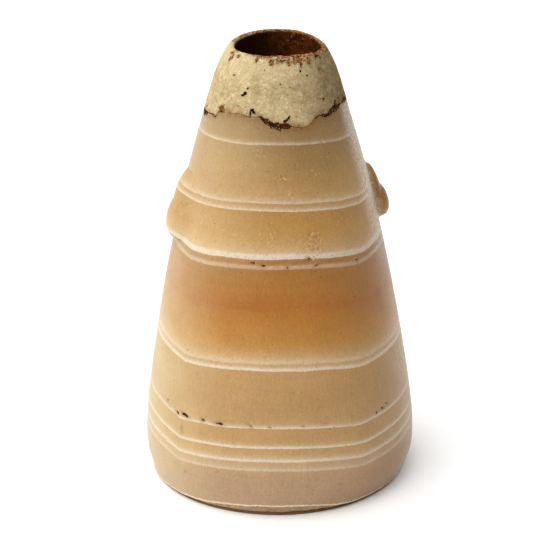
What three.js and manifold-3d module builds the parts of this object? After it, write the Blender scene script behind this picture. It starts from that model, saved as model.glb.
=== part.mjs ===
// A conical kohl pot of banded calcite alabaster on a rounded-in foot, with a lobed lug on each side.
// The stone neck is broken in a ragged line, and a plaster rim set on the break makes up the mouth.
// Angles are measured about the upright axis from the front (-Y) towards the right (+X).

import * as THREE from 'three';
import { mergeVertices } from 'three/addons/utils/BufferGeometryUtils.js';
import Module from 'manifold-3d';

// Driving dimensions, in millimetres and degrees.
const HEIGHT = 89.6;
const SEGMENTS = 72;

// The outer wall from the foot to the lip: heights, and the radius at each of them.
const WALL_HEIGHTS = [
  0, 1.8, 4.5, 8.1, 12.6, 18, 27, 37.8, 49.5, 61.2, 70.2, 76.5, 81, 84.6, 87, 88.4, 89.2, 89.6,
];
const WALL_RADII = [
  24.9, 26.0, 27.1, 27.3, 27.05, 26.45, 25.1, 23.3, 21.0, 18.4, 15.95, 14.15, 12.9, 11.8, 10.8, 10.1, 9.65, 9.15,
];

// The drilled well, a little off the axis, with a rounded floor.
const BORE_LIP_R = 8.4;
const BORE_BELLY_R = 10.2;
const BORE_FLOOR_Z = 13;
const BORE_ROUND = 9;
const BORE_OFFSET_X = 0.35;

// The ragged break of the stone neck: angle and height of each corner of its edge.
const BREAK_MEAN = 77.8;
const BREAK_START = 71;
const BREAK_CORNERS = [
  [-180, 77.2], [-160, 78.3], [-145, 77.6], [-125, 78.5], [-112, 77.3], [-95, 76.6], [-79, 76.3],
  [-66, 77.2], [-54, 78.3], [-31, 78.9], [-15, 78.9], [-10, 78.1], [0, 77.0], [21, 76.5], [26, 76.8],
  [32, 77.9], [44, 77.8], [52, 78.4], [67, 78.8], [82, 78.6], [100, 77.7], [118, 78.2], [135, 77.1],
  [158, 78.0], [180, 77.2],
];
const JOINT_GAP = 0.3;

// The plaster lip: thin, rounded over, and worn lower at the sides, most at the right.
const LIP_DROP_LEFT = 0.3;
const LIP_DROP_RIGHT = 0.7;
const LIP_FADE_START = 80;
const LIP_ROUND = 0.5;
const RIM_OFFSET_X = 0.2;

// The lugs: each is a long low ridge with a larger lobe at its lower end, set turned from the side axis.
const LUG_TURN = 12;
const LUG_RIGHT_REACH = 3.1;
const LUG_LEFT_REACH = 2.6;
const LUG_LEFT_DROP = 0.8;
const LUG_SLOPE = 12.5;
const LUG_LOBE = { height: 56.4, half: 3.9, wide: 3.1, reach: 1.0 };
const LUG_RIDGE = { height: 58.7, half: 5.5, wide: 2.8, reach: 0.74 };

// The chipped foot edge at the front.
const CHIP_ANGLE = -3;
const CHIP_HALF = 30;
const CHIP_HEIGHT = 2;
const CHIP_DEPTH = 0.7;

const wasm = await Module();
wasm.setup();

const wall = new THREE.CubicInterpolant(WALL_HEIGHTS, WALL_RADII, 1, new Float32Array(1));

// The outer radius of the pot at a height.
function wallRadius(z) {
  return wall.evaluate(THREE.MathUtils.clamp(z, 0, HEIGHT))[0];
}

// The radius of the well at a height, down to the top of its rounded floor.
function boreRadius(z) {
  const down = THREE.MathUtils.smoothstep(HEIGHT - z, 0, 0.55 * HEIGHT);
  return BORE_LIP_R + (BORE_BELLY_R - BORE_LIP_R) * down;
}

// The height of the broken stone edge at an angle in degrees.
function breakHeight(angle) {
  const turned = THREE.MathUtils.euclideanModulo(angle + 180, 360) - 180;
  const next = BREAK_CORNERS.findIndex((corner) => corner[0] > turned);
  const [a0, z0] = BREAK_CORNERS[next - 1];
  const [a1, z1] = BREAK_CORNERS[next];
  return THREE.MathUtils.lerp(z0, z1, (turned - a0) / (a1 - a0));
}

// How far the lip is worn down at an angle: nothing at front and back, most at the sides.
function lipDrop(angle) {
  const side = Math.sin(THREE.MathUtils.degToRad(angle));
  return side * side * (side > 0 ? LIP_DROP_RIGHT : LIP_DROP_LEFT);
}

// How far the foot edge is chipped back at an angle and height.
function chipDepth(angle, z) {
  const across = Math.max(0, 1 - ((angle - CHIP_ANGLE) / CHIP_HALF) ** 2);
  return CHIP_DEPTH * across * Math.max(0, 1 - z / CHIP_HEIGHT);
}

// Turns a section about the axis, then moves each vertex with a function of its angle, radius and height.
function turned(points, move) {
  const geometry = new THREE.LatheGeometry(points, SEGMENTS);
  geometry.rotateX(Math.PI / 2);
  const position = geometry.getAttribute('position');
  for (let i = 0; i < position.count; i += 1) {
    const x = position.getX(i);
    const y = position.getY(i);
    const radius = Math.hypot(x, y);
    const angle = Math.atan2(x, -y);
    const moved = move(THREE.MathUtils.radToDeg(angle), radius, position.getZ(i));
    position.setXYZ(
      i,
      moved.radius * Math.sin(angle) + moved.aside,
      -moved.radius * Math.cos(angle),
      moved.height,
    );
  }
  return geometry;
}

// Keeps a vertex at its share of the wall thickness while its height changes.
function shifted(radius, z, height, inward) {
  const inner = boreRadius(z);
  const share = THREE.MathUtils.clamp((radius - inner) / (wallRadius(z) - inner), 0, 1);
  const newInner = boreRadius(height);
  return {
    radius: newInner + share * (wallRadius(height) - newInner) - inward,
    aside: BORE_OFFSET_X * (1 - share),
    height,
  };
}

// A closed solid from a geometry.
function solid(geometry) {
  geometry.deleteAttribute('normal');
  geometry.deleteAttribute('uv');
  const merged = mergeVertices(geometry, 1e-4);
  const kept = [];
  const index = merged.index.array;
  for (let i = 0; i < index.length; i += 3) {
    const [a, b, c] = index.slice(i, i + 3);
    if (a !== b && b !== c && c !== a) {
      kept.push(a, b, c);
    }
  }
  return new wasm.Manifold(
    new wasm.Mesh({
      numProp: 3,
      vertProperties: new Float32Array(merged.getAttribute('position').array),
      triVerts: new Uint32Array(kept),
    }),
  );
}

// The stone without its lugs: foot, wall, break and well.
function stoneVessel() {
  const points = [new THREE.Vector2(0, 0)];
  for (const z of [0, 0.9, 2, 4, 6.5, 10, 14, 18, 23, 29, 36, 43, 50, 57, 64, 70, 73, 75.5]) {
    points.push(new THREE.Vector2(wallRadius(z), z));
  }
  points.push(new THREE.Vector2(wallRadius(BREAK_MEAN), BREAK_MEAN));
  points.push(new THREE.Vector2(0.5 * (wallRadius(BREAK_MEAN) + boreRadius(BREAK_MEAN)), BREAK_MEAN));
  for (const z of [BREAK_MEAN, 74, 68, 60, 50, 40, 30, BORE_FLOOR_Z + BORE_ROUND]) {
    points.push(new THREE.Vector2(boreRadius(z), z));
  }
  for (const turn of [18, 36, 54, 72, 90]) {
    const way = THREE.MathUtils.degToRad(turn);
    points.push(
      new THREE.Vector2(
        turn === 90 ? 0 : boreRadius(BORE_FLOOR_Z) * Math.cos(way),
        BORE_FLOOR_Z + BORE_ROUND * (1 - Math.sin(way)),
      ),
    );
  }
  return turned(points, (angle, radius, z) => {
    const up = THREE.MathUtils.clamp((z - BREAK_START) / (BREAK_MEAN - BREAK_START), 0, 1);
    if (up > 0) {
      return shifted(radius, z, z + up * (breakHeight(angle) - BREAK_MEAN), 0);
    }
    const inWell = z > 0 && radius <= boreRadius(z) + 0.01;
    const onEdge = !inWell && radius > 1;
    return {
      radius: radius - (onEdge ? chipDepth(angle, z) : 0),
      aside: inWell ? BORE_OFFSET_X : 0,
      height: z,
    };
  });
}

// One swelling of a lug, standing on the wall with its long axis along the slope of the wall.
function lobe(angle, size, reach, drop) {
  const height = size.height - drop;
  const geometry = new THREE.SphereGeometry(1, 22, 14);
  geometry.scale(reach * size.reach, size.wide, size.half);
  geometry.rotateY(THREE.MathUtils.degToRad(-LUG_SLOPE));
  geometry.translate(wallRadius(height), 0, height);
  geometry.rotateZ(THREE.MathUtils.degToRad(angle - 90));
  return solid(geometry);
}

// The ridge and the lobe of the lug at an angle.
function lug(angle, reach, drop) {
  return lobe(angle, LUG_LOBE, reach, drop).add(lobe(angle, LUG_RIDGE, reach, drop));
}

// The plaster rim from the joint to the rounded lip and back down the mouth.
function plasterRing() {
  const foot = BREAK_MEAN + JOINT_GAP;
  const points = [];
  for (const z of [foot, 79.6, 81.2, 83, 84.8, 86.4, 87.6, 88.5, 89.2]) {
    points.push(new THREE.Vector2(wallRadius(z), z));
  }
  points.push(new THREE.Vector2(wallRadius(HEIGHT), HEIGHT));
  points.push(new THREE.Vector2(BORE_LIP_R + 0.25 * LIP_ROUND, HEIGHT - 0.2 * LIP_ROUND));
  for (const z of [HEIGHT - LIP_ROUND, 87.5, 84.5, 81.5, foot]) {
    points.push(new THREE.Vector2(boreRadius(z), z));
  }
  points.push(new THREE.Vector2(0.5 * (wallRadius(foot) + boreRadius(foot)), foot));
  points.push(points[0].clone());
  return turned(points, (angle, radius, z) => {
    const down = THREE.MathUtils.clamp((LIP_FADE_START + 3 - z) / (LIP_FADE_START + 3 - foot), 0, 1);
    const up = THREE.MathUtils.clamp((z - LIP_FADE_START) / (HEIGHT - LIP_FADE_START), 0, 1);
    const height = z + down * (breakHeight(angle) - BREAK_MEAN) - up * lipDrop(angle);
    const inner = boreRadius(z);
    const share = THREE.MathUtils.clamp((radius - inner) / (wallRadius(z) - inner), 0, 1);
    const slide = wallRadius(height + up * lipDrop(angle)) - wallRadius(z);
    const aside = BORE_OFFSET_X * (1 - share) + RIM_OFFSET_X * share * up;
    return { radius: radius + share * slide, aside, height };
  });
}

// A named mesh from a closed solid.
function piece(name, made, material) {
  const mesh = made.getMesh();
  const geometry = new THREE.BufferGeometry();
  geometry.setAttribute('position', new THREE.BufferAttribute(mesh.vertProperties, 3));
  geometry.setIndex(new THREE.BufferAttribute(mesh.triVerts, 1));
  geometry.computeVertexNormals();
  const named = new THREE.Mesh(geometry, material);
  named.name = name;
  return named;
}

const alabaster = new THREE.MeshStandardMaterial({ color: 0xcda878, roughness: 0.42, metalness: 0 });
const plaster = new THREE.MeshStandardMaterial({ color: 0xdccba4, roughness: 0.85, metalness: 0 });

const stone = solid(stoneVessel())
  .add(lug(90 + LUG_TURN, LUG_RIGHT_REACH, 0))
  .add(lug(-90 + LUG_TURN, LUG_LEFT_REACH, LUG_LEFT_DROP));

const pot = new THREE.Group();
pot.name = 'kohl_pot';
pot.add(piece('stone_body', stone, alabaster));
pot.add(piece('plaster_rim', solid(plasterRing()), plaster));

export default pot;
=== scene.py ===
"""A conical kohl pot of banded alabaster with a plaster rim: its shapes, finishes, light and camera.

Sizes are in millimetres and angles in degrees unless a name says otherwise. An angle is measured about
the upright axis from the front (-Y) towards the right (+X).
"""

import logging
import math
from dataclasses import dataclass
from enum import Enum
from typing import Any, Sequence, Union

import bpy
import numpy as np
from mathutils import Matrix, Vector, noise


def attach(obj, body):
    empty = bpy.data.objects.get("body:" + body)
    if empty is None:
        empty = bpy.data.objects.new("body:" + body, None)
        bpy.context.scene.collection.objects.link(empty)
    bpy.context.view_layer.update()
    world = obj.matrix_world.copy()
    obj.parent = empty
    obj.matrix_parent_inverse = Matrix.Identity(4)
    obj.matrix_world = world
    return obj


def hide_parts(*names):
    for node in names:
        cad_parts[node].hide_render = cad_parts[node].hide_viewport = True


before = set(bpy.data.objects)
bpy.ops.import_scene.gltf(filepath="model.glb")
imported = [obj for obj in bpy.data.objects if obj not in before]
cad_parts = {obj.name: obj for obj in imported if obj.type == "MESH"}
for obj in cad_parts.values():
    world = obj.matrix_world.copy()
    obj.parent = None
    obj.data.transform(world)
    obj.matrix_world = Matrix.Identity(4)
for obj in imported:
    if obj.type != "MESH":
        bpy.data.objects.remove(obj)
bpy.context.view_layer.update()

MM = 0.001
LOG = logging.getLogger("kohl_pot")

Colour = tuple[float, float, float]


def srgb(red: int, green: int, blue: int) -> Colour:
    """Turns a colour of 0 to 255 steps into linear light.

    Args:
        red: Red step.
        green: Green step.
        blue: Blue step.

    Returns:
        The colour as three linear values.
    """
    steps = (red / 255, green / 255, blue / 255)
    return tuple(c / 12.92 if c <= 0.04045 else ((c + 0.055) / 1.055) ** 2.4 for c in steps)


def ease(value: np.ndarray, low: float, high: float) -> np.ndarray:
    """Rises smoothly from 0 at low to 1 at high.

    Args:
        value: Values to ease.
        low: Where the rise starts.
        high: Where the rise ends.

    Returns:
        The eased values.
    """
    t = np.clip((value - low) / (high - low), 0, 1)
    return t * t * (3 - 2 * t)


def wrapped(angle: np.ndarray) -> np.ndarray:
    """Brings angles in degrees into -180 to 180."""
    return (angle + 180) % 360 - 180


def grain(points: np.ndarray, cell: float, seed: float) -> np.ndarray:
    """Smooth noise from about -1 to 1 at each point.

    Args:
        points: Points, one a row.
        cell: Size of the noise's cells.
        seed: Offset that picks another part of the noise.

    Returns:
        One value for each point.
    """
    return np.array([noise.noise(Vector(p)) for p in points / cell + seed])


@dataclass(frozen=True)
class Unevenness:
    """Two sizes of noise laid over each other: their cells, seeds and the share of the finer one."""

    cell: float
    seed: float
    fine_cell: float
    fine_seed: float
    fine_share: float

    def at(self, points: np.ndarray) -> np.ndarray:
        """The noise at each point."""
        fine = grain(points, self.fine_cell, self.fine_seed)
        return grain(points, self.cell, self.seed) + self.fine_share * fine


@dataclass(frozen=True)
class Section:
    """Upright section of the pot: outer wall, drilled well and the well's offset."""

    heights: tuple[float, ...] = (
        0, 1.8, 4.5, 8.1, 12.6, 18, 27, 37.8, 49.5, 61.2, 70.2, 76.5, 81, 84.6, 87, 88.4, 89.2, 89.6,
    )
    radii: tuple[float, ...] = (
        24.9, 26.0, 27.1, 27.3, 27.05, 26.45, 25.1, 23.3, 21.0, 18.4, 15.95, 14.15, 12.9, 11.8, 10.8,
        10.1, 9.65, 9.15,
    )
    top: float = 89.6
    bore_lip: float = 8.4
    bore_belly: float = 10.2
    bore_floor: float = 13.0
    bore_round: float = 9.0
    bore_aside: float = 0.35
    bore_widening: float = 0.55

    def wall(self, z: np.ndarray) -> np.ndarray:
        """Outer radius at a height, on a smooth curve through the stations.

        Args:
            z: Heights.

        Returns:
            Radii.
        """
        at, value = np.array(self.heights), np.array(self.radii)
        slope = np.gradient(value, at)
        z = np.clip(z, at[0], at[-1])
        i = np.clip(np.searchsorted(at, z, side="right") - 1, 0, len(at) - 2)
        run = at[i + 1] - at[i]
        t = (z - at[i]) / run
        rise = t * t * (3 - 2 * t)
        bend = run * (slope[i] * t * (1 - t) ** 2 - slope[i + 1] * t * t * (1 - t))
        return value[i] + (value[i + 1] - value[i]) * rise + bend

    def bore(self, z: np.ndarray) -> np.ndarray:
        """Radius of the drilled well at a height, above its rounded floor."""
        down = ease(self.top - z, 0, self.bore_widening * self.top)
        return self.bore_lip + (self.bore_belly - self.bore_lip) * down

    def outer(self, heights: Sequence[float]) -> list[tuple[float, float]]:
        """Rings of the outer wall, as radius and height, at some heights."""
        return list(zip(self.wall(np.array(heights)).tolist(), heights))

    def inner(self, heights: Sequence[float]) -> list[tuple[float, float]]:
        """Rings of the well, as radius and height, at some heights."""
        return list(zip(self.bore(np.array(heights)).tolist(), heights))


@dataclass(frozen=True)
class BreakLine:
    """The ragged line where the stone neck is broken and the plaster begins."""

    mean: float = 77.8
    corners: tuple[tuple[float, float], ...] = (
        (-180, 77.2), (-160, 78.3), (-145, 77.6), (-125, 78.5), (-112, 77.3), (-95, 76.6), (-79, 76.3),
        (-66, 77.2), (-58, 76.9), (-54, 78.3), (-31, 78.9), (-23, 78.5), (-15, 78.8), (-10, 78.1),
        (0, 77.0), (12, 77.0), (21, 76.5), (26, 76.8), (32, 77.9), (37, 78.3), (44, 77.8), (52, 78.4),
        (67, 78.8), (82, 78.6), (100, 77.7), (118, 78.2), (135, 77.1), (158, 78.0), (180, 77.2),
    )
    jag: float = 0.12
    jag_radius: float = 13.5
    ragged: Unevenness = Unevenness(0.9, 3.7, 0.35, 8.2, 0.6)

    def height(self, angle: np.ndarray) -> np.ndarray:
        """Height of the line at each angle, with its fine jags.

        Args:
            angle: Angles in degrees.

        Returns:
            Heights.
        """
        at, level = zip(*self.corners)
        turn = np.radians(angle)
        ring = self.jag_radius * np.stack([np.sin(turn), -np.cos(turn), np.zeros_like(turn)], axis=1)
        return np.interp(wrapped(angle), at, level) + self.jag * self.ragged.at(ring)


@dataclass(frozen=True)
class JointCrack:
    """The dirt-filled crack along the break: its half width at each angle and its colours."""

    half_widths: tuple[tuple[float, float], ...] = (
        (-180, 0.3), (-150, 0.6), (-120, 0.1), (-96, 0.6), (-76, 0.65), (-70, 0.2), (-60, 0.25),
        (-54, 0.35), (-46, 0.02), (-30, 0.02), (-22, 0.25), (-16, 0.1), (-12, 0.5), (-7, 0.85), (-3, 0.65),
        (1, 0.95), (4, 0.65), (8, 0.8), (12, 0.15), (26, 0.06), (32, 0.2), (38, 0.35), (46, 0.5),
        (54, 0.8), (61, 0.75), (65, 0.25), (70, 0.2), (74, 0.6), (82, 0.6), (100, 0.15), (130, 0.6),
        (150, 0.1), (180, 0.3),
    )
    dark: Colour = srgb(46, 23, 8)
    rust: Colour = srgb(128, 74, 24)
    seam: Colour = srgb(86, 48, 17)
    crumb: Colour = srgb(190, 162, 112)
    reach: float = 3.0

    def half(self, angle: np.ndarray) -> np.ndarray:
        """Half width of the crack at each angle."""
        at, half = zip(*self.half_widths)
        return np.interp(wrapped(angle), at, half)

    def stored(self, above: np.ndarray) -> np.ndarray:
        """Heights above the break as the 0 to 1 value that the finishes read."""
        return 0.5 + 0.5 * above / self.reach

    def shade(
        self, graph: "Graph", where: bpy.types.NodeSocket, colour: bpy.types.NodeSocket
    ) -> tuple[bpy.types.NodeSocket, "Value"]:
        """Draws the crack and the stain beside it over a finish.

        Args:
            graph: The finish's graph.
            where: Coordinates in millimetres.
            colour: The finish's colour without the crack.

        Returns:
            The colour with the crack, and how dark the crack is.
        """
        wander = graph.noise(where, 0.9, 3.0, (1, 1, 1), (2, 2, 5))
        ragged = graph.noise(where, 0.32, 2.0, (1, 1, 1), (7, 4, 4))
        off = (graph.signed("above", 2.0 * self.reach) + wander * 0.3).math("ABSOLUTE")
        thin = (0.05 + ragged * 0.35 - off).rise(-0.06, 0.04) * 0.8
        open_gap = (graph.layer("gap") + ragged * 0.8 + wander * 0.7 - off).rise(0.14, 0.22)
        crumb = (ragged - wander * 0.6).rise(0.12, 0.2) * 0.75
        stained = off.rise(1.4, 0.1) * (0.4 + wander * 1.8 + ragged * 0.8).capped(0.8)
        colour = graph.mix(colour, self.rust, stained)
        colour = graph.mix(colour, self.seam, thin)
        fill = graph.mix(self.dark, self.rust, (wander - ragged).rise(0.0, 0.3))
        fill = graph.mix(fill, self.crumb, crumb)
        return graph.mix(colour, fill, open_gap), open_gap


@dataclass(frozen=True)
class Mark:
    """A small oval mark on the surface, such as a pit or a flake."""

    angle: float
    height: float
    wide: float
    tall: float
    lean: float = 0.0

    def depth(self, angle: np.ndarray, height: np.ndarray, radius: np.ndarray) -> np.ndarray:
        """How far inside the mark's edge each point is, negative outside.

        Args:
            angle: Angles of the points in degrees.
            height: Heights of the points.
            radius: Radii of the points.

        Returns:
            One distance for each point.
        """
        across = radius * np.radians(wrapped(angle - self.angle))
        up = height - self.height
        turn = math.radians(self.lean)
        along = across * math.cos(turn) + up * math.sin(turn)
        over = up * math.cos(turn) - across * math.sin(turn)
        out = np.sqrt((along / self.wide) ** 2 + (over / self.tall) ** 2)
        return min(self.wide, self.tall) * (1 - out)


def deepest(marks: Sequence[Mark], angle: np.ndarray, height: np.ndarray, radius: np.ndarray) -> np.ndarray:
    """How far each point is inside the nearest of several marks, negative outside them all.

    Args:
        marks: The marks.
        angle: Angles of the points in degrees.
        height: Heights of the points.
        radius: Radii of the points.

    Returns:
        One distance for each point.
    """
    best = np.full(len(angle), -9.0)
    for mark in marks:
        best = np.maximum(best, mark.depth(angle, height, radius))
    return best


class Turned:
    """A piece turned from rings, each ring extruded from the one before it."""

    def __init__(self, name: str, columns: int) -> None:
        """Keeps the piece's name and how many corners its rings have."""
        self.name = name
        self.columns = columns
        self.piece: bpy.types.Object = None

    def rings(self, section: Sequence[tuple[float, float]]) -> None:
        """Extrudes a circle through a section of radius and height pairs.

        Args:
            section: Radius and height of each ring, in order.
        """
        if bpy.context.object and bpy.context.object.mode != "OBJECT":
            bpy.ops.object.mode_set(mode="OBJECT")
        bpy.ops.object.select_all(action="DESELECT")
        radius, height = section[0]
        bpy.ops.mesh.primitive_circle_add(
            vertices=self.columns, radius=radius * MM, fill_type="NOTHING", location=(0, 0, 0)
        )
        self.piece = bpy.context.object
        self.piece.name = self.name
        self.piece.data.name = self.name
        bpy.ops.object.mode_set(mode="EDIT")
        bpy.ops.mesh.select_all(action="SELECT")
        bpy.ops.transform.translate(value=(0, 0, height * MM))
        for next_radius, next_height in section[1:]:
            bpy.ops.mesh.extrude_region_move(
                TRANSFORM_OT_translate={"value": (0, 0, (next_height - height) * MM)}
            )
            share = next_radius / radius
            bpy.ops.transform.resize(value=(share, share, 1), center_override=(0, 0, next_height * MM))
            radius, height = next_radius, next_height

    def close_pole(self, height: float, radius: float) -> None:
        """Merges the ring at a height within a radius into one point on the axis.

        Args:
            height: Height of the ring.
            radius: Radius that holds the ring.
        """
        bpy.ops.mesh.select_all(action="DESELECT")
        bpy.ops.object.mode_set(mode="OBJECT")
        for vertex in self.piece.data.vertices:
            place = vertex.co / MM
            vertex.select = abs(place.z - height) < 0.01 and math.hypot(place.x, place.y) < radius
        bpy.ops.object.mode_set(mode="EDIT")
        bpy.ops.mesh.merge(type="CENTER")

    def finish_mesh(self, levels: int) -> None:
        """Merges doubles, points the faces outwards and subdivides.

        Args:
            levels: Levels of subdivision.
        """
        bpy.ops.mesh.select_all(action="SELECT")
        bpy.ops.mesh.remove_doubles(threshold=0.00001)
        bpy.ops.mesh.normals_make_consistent(inside=False)
        bpy.ops.object.mode_set(mode="OBJECT")
        bpy.ops.object.modifier_add(type="SUBSURF")
        rounding = self.piece.modifiers[-1]
        rounding.levels = levels
        rounding.render_levels = levels
        bpy.ops.object.modifier_apply(modifier=rounding.name)
        bpy.ops.object.shade_smooth()

    def points(self) -> np.ndarray:
        """The vertices of the piece in millimetres, one a row."""
        flat = np.empty(3 * len(self.piece.data.vertices))
        self.piece.data.vertices.foreach_get("co", flat)
        return flat.reshape(-1, 3) / MM

    def move(self, points: np.ndarray) -> None:
        """Puts the vertices at points given in millimetres."""
        self.piece.data.vertices.foreach_set("co", (points * MM).ravel())
        self.piece.data.update()

    def paint(self, name: str, values: np.ndarray) -> None:
        """Stores one value for each vertex under a name that a finish reads."""
        layer = self.piece.data.attributes.new(name, "FLOAT", "POINT")
        layer.data.foreach_set("value", np.clip(values, 0, 1).astype(np.float32))

    def settle(self, node: str, slot: str, finish: bpy.types.Material) -> None:
        """Dresses the piece and puts it in place of its solid.

        Args:
            node: The solid that the piece stands for.
            slot: The record's material slot; not used.
            finish: The material.
        """
        self.piece.data.materials.append(finish)
        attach(self.piece, "root")
        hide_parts(node)
        LOG.info("%s: %d faces", self.name, len(self.piece.data.polygons))


@dataclass(frozen=True)
class Lug:
    """A carved lug: a long low ridge with a larger lobe at its lower end."""

    angle: float
    lobe_height: float
    lobe_half: float
    lobe_reach: float
    ridge_height: float
    ridge_half: float
    ridge_reach: float
    wide: float
    side_roundness: float
    end_roundness: float = 0.4

    def push(self, angle: np.ndarray, height: np.ndarray, radius: np.ndarray) -> np.ndarray:
        """How far the lug stands out of the wall at each point.

        Args:
            angle: Angles of the points in degrees.
            height: Heights of the points.
            radius: Radii of the points.

        Returns:
            One distance for each point.
        """
        across = radius * np.radians(wrapped(angle - self.angle))
        side = np.maximum(1e-6, 1 - (across / self.wide) ** 2)
        lobe = 1 - ((height - self.lobe_height) / self.lobe_half) ** 2 / side
        ridge = 1 - ((height - self.ridge_height) / self.ridge_half) ** 2 / side
        lobe = self.lobe_reach * np.maximum(0, lobe) ** self.end_roundness
        ridge = self.ridge_reach * np.maximum(0, ridge) ** self.end_roundness
        return side**self.side_roundness * np.maximum(lobe, ridge)


@dataclass
class StoneBody(Turned):
    """The alabaster pot with its lugs, chipped foot, pits and drilled well."""

    section: Section
    break_line: BreakLine
    crack: JointCrack
    lugs: tuple[Lug, ...] = (
        Lug(102, 55.75, 3.75, 3.0, 57.9, 5.6, 1.95, 3.4, 0.3, 0.36),
        Lug(-79, 55.6, 4.5, 2.65, 59.1, 5.3, 1.9, 8.0, 3.0, 0.45),
    )
    ring_step: float = 1.75
    edge_loop: float = 0.15
    break_start: float = 71.0
    chip_line: tuple[tuple[float, float], ...] = (
        (-180, 0.72), (-70, 0.72), (-48, 0.8), (-36, 1.15), (-25, 1.75), (-10, 2.2), (5, 2.25), (15, 1.9),
        (24, 1.2), (32, 0.8), (60, 0.72), (180, 0.72),
    )
    chip_step: float = 0.14
    chip_slope: float = 0.3
    foot_spread: tuple[tuple[float, float], ...] = (
        (-180, 0.3), (-110, 0.7), (-60, 1.2), (0, 1.3), (20, 1.1), (45, 0.5), (70, 0.15), (120, 0.1),
        (180, 0.3),
    )
    spread_height: float = 5.0
    spread_start: float = 17.0
    spread_full: float = 23.0
    foot_rings: tuple[tuple[float, float], ...] = (
        (3.0, 0.0), (14.0, 0.0), (23.0, 0.0), (24.4, 0.0), (24.65, 0.05), (24.75, 0.5), (24.9, 0.64),
    )
    arris_heights: tuple[float, ...] = (0.74, 0.92)
    arris_proud: float = 0.1
    arris_end: float = 1.3
    wall_start: float = 1.7
    well_heights: tuple[float, ...] = (74.0, 62.0, 45.0, 28.0)
    floor_turns: tuple[float, ...] = (0, 30, 55, 75)
    pole_reach: float = 4.0
    chip_top: float = 3.0
    step_height: float = 0.6
    step_radius: float = 24.2
    rough: Unevenness = Unevenness(1.1, 1.3, 0.45, 5.1, 0.5)
    wobble: Unevenness = Unevenness(16.0, 2.2, 4.0, 6.4, 0.35)
    uneven: float = 0.05
    pit_depth: float = 0.3
    pits: tuple[Mark, ...] = (
        Mark(-58.5, 19.7, 0.28, 0.26), Mark(-50.4, 18.4, 0.5, 0.45), Mark(-45.3, 18.6, 1.15, 0.38, -10),
        Mark(-35.2, 18.9, 0.55, 0.35), Mark(-26.8, 19.0, 1.1, 0.33), Mark(-13.0, 19.4, 0.6, 0.22, -35),
        Mark(-4.5, 19.3, 0.26, 0.26), Mark(51.0, 18.8, 0.45, 0.36), Mark(47.0, 18.5, 0.32, 0.3),
        Mark(54.5, 19.2, 0.36, 0.3), Mark(-46.7, 15.9, 0.26, 0.6), Mark(-46.5, 15.0, 0.3, 0.28),
        Mark(10.0, 19.3, 0.22, 0.2), Mark(20.0, 19.3, 0.3, 0.2), Mark(33.0, 19.6, 0.22, 0.2),
        Mark(-44.0, 6.8, 0.24, 0.24), Mark(-27.0, 9.0, 0.2, 0.2), Mark(60.0, 3.2, 0.25, 0.25),
        Mark(15.1, 51.7, 0.6, 0.22), Mark(21.1, 50.6, 0.6, 0.22, 10), Mark(47.3, 49.5, 0.5, 0.28),
        Mark(-13.7, 51.4, 0.5, 0.28), Mark(-8.2, 50.9, 0.55, 0.28), Mark(5.0, 50.7, 0.4, 0.28),
        Mark(17.0, 52.0, 0.55, 0.26, -30),
        Mark(-70.0, 59.2, 0.14, 0.14), Mark(-68.0, 58.6, 0.16, 0.13), Mark(-72.0, 58.4, 0.12, 0.14),
        Mark(-66.0, 59.3, 0.12, 0.12), Mark(-71.0, 57.4, 0.14, 0.12), Mark(29.0, 50.9, 0.3, 0.14),
        Mark(150.0, 18.7, 0.8, 0.26), Mark(-130.0, 18.6, 0.6, 0.24),
        Mark(120.0, 49.8, 0.5, 0.18), Mark(-160.0, 31.0, 0.4, 0.2),
    )
    scuffs: tuple[Mark, ...] = (
        Mark(19.8, 54.4, 2.2, 3.2), Mark(3.2, 67.8, 1.3, 0.8), Mark(-15.2, 70.2, 0.35, 0.6),
        Mark(-6.5, 68.7, 0.3, 0.6), Mark(12.0, 69.9, 0.6, 0.6), Mark(13.5, 65.9, 0.5, 0.5),
        Mark(8.0, 64.0, 0.6, 1.2), Mark(-150.0, 56.0, 1.8, 1.4), Mark(125.0, 66.0, 1.4, 1.0),
    )

    def __post_init__(self) -> None:
        """Names the piece and sets its ring size."""
        super().__init__("alabaster_pot", 88)

    def build(self) -> None:
        """Turns the pot, closes its poles and subdivides it."""
        cut = self.section
        top = self.break_line.mean
        rows = list(self.foot_rings)
        rows += [(radius + self.arris_proud, z) for radius, z in cut.outer(self.arris_heights)]
        rows += cut.outer((self.arris_end,))
        last = top - self.edge_loop
        count = round((last - self.wall_start) / self.ring_step)
        rows += cut.outer(np.linspace(self.wall_start, last, count))
        rim, well = cut.outer((top,))[0][0], cut.inner((top,))[0][0]
        rows += [(rim, top), (rim - self.edge_loop, top), (0.5 * (rim + well), top), (well, top)]
        rows += cut.inner(self.well_heights)
        for way in np.radians(self.floor_turns):
            rows.append((
                cut.bore_belly * math.cos(way),
                cut.bore_floor + cut.bore_round * (1 - math.sin(way)),
            ))
        self.rings(rows)
        self.close_pole(rows[-1][1], self.pole_reach)
        self.close_pole(0.0, self.pole_reach)
        self.finish_mesh(2)

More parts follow.
